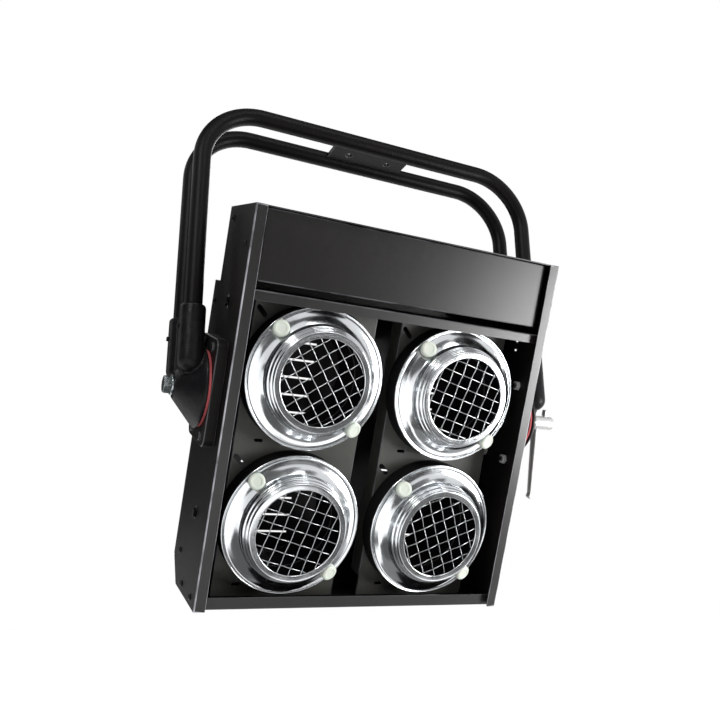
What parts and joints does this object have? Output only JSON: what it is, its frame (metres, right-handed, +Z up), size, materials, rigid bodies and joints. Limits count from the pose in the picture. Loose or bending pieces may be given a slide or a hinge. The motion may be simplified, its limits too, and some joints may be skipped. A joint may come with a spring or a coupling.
{
  "type": "audience blinder light",
  "caption": "Folded steel audience blinder light with round polished lamp bezels behind wire guards, tilting in a tubular hanging yoke with a clamp lever.",
  "frame": {"origin": "middle of the hang plate's top face", "axes": "+X towards the clamp lever's side, +Y from the front to the back, +Z up along the yoke's legs"},
  "size_m": [0.5621, 0.3132, 0.6312],
  "materials": {
    "black_paint": "satin",
    "grey_paint": "satin",
    "cast_black": "satin",
    "zinc": "satin",
    "red_fibre": "matte",
    "ceramic": "matte",
    "black_nylon": "satin",
    "polished_aluminium": "polished",
    "galvanised_wire": "satin",
    "soot_black": "matte",
    "cream_nylon": "satin"
  },
  "bodies": {
    "yoke": {"yoke_tube_front": "black_paint", "yoke_tube_rear": "black_paint", "hang_plate": "black_paint", "yoke_end_left": "cast_black", "yoke_end_right": "cast_black", "socket_screw_left_front": "zinc", "socket_screw_left_rear": "zinc", "socket_screw_right_front": "zinc", "socket_screw_right_rear": "zinc", "friction_washer_left": "red_fibre", "friction_washer_right": "red_fibre"},
    "housing": {"side_panel_left": "black_paint", "side_panel_right": "black_paint", "pivot_channel_left": "black_paint", "pivot_channel_right": "black_paint", "top_sheet": "black_paint", "bay_ceiling": "black_paint", "front_cover": "black_paint", "bottom_sheet": "black_paint", "back_cover": "black_paint", "lamp_plate_left": "grey_paint", "lamp_plate_right": "grey_paint", "side_screw_left_upper": "zinc", "side_screw_left_lower": "zinc", "side_screw_right_upper": "zinc", "side_screw_right_lower": "zinc", "pivot_bolt_left": "zinc", "pivot_washer_left": "zinc", "pivot_washer_right": "zinc", "pivot_stud_right": "zinc", "earth_stud": "zinc", "terminal_block": "ceramic", "lamp_holder_upper_left": "ceramic", "lamp_holder_upper_right": "ceramic", "lamp_holder_lower_left": "ceramic", "lamp_holder_lower_right": "ceramic", "cable_gland": "black_nylon", "bezel_upper_left": "polished_aluminium", "bezel_upper_right": "polished_aluminium", "bezel_lower_left": "polished_aluminium", "bezel_lower_right": "polished_aluminium", "wire_guard_upper_left": "galvanised_wire", "wire_guard_upper_right": "galvanised_wire", "wire_guard_lower_left": "galvanised_wire", "wire_guard_lower_right": "galvanised_wire", "lamp_can_upper_left": "soot_black", "lamp_can_upper_right": "soot_black", "lamp_can_lower_left": "soot_black", "lamp_can_lower_right": "soot_black", "button_high_upper_left": "cream_nylon", "button_low_upper_left": "cream_nylon", "button_high_upper_right": "cream_nylon", "button_low_upper_right": "cream_nylon", "button_high_lower_left": "cream_nylon", "button_low_lower_left": "cream_nylon", "button_high_lower_right": "cream_nylon", "button_low_lower_right": "cream_nylon"},
    "lever": {"clamp_lever": "zinc", "clamp_screw": "zinc"}
  },
  "joints": [
    {"name": "housing_tilt", "type": "hinge", "parent": "yoke", "child": "housing", "pos_m": [0, 0, -0.369], "axis": [1, 0, 0], "range_deg": [-113.8, 66.2]},
    {"name": "clamp_lever_turn", "type": "hinge", "parent": "housing", "child": "lever", "pos_m": [0, 0, -0.369], "axis": [1, 0, 0], "continuous": true}
  ]
}
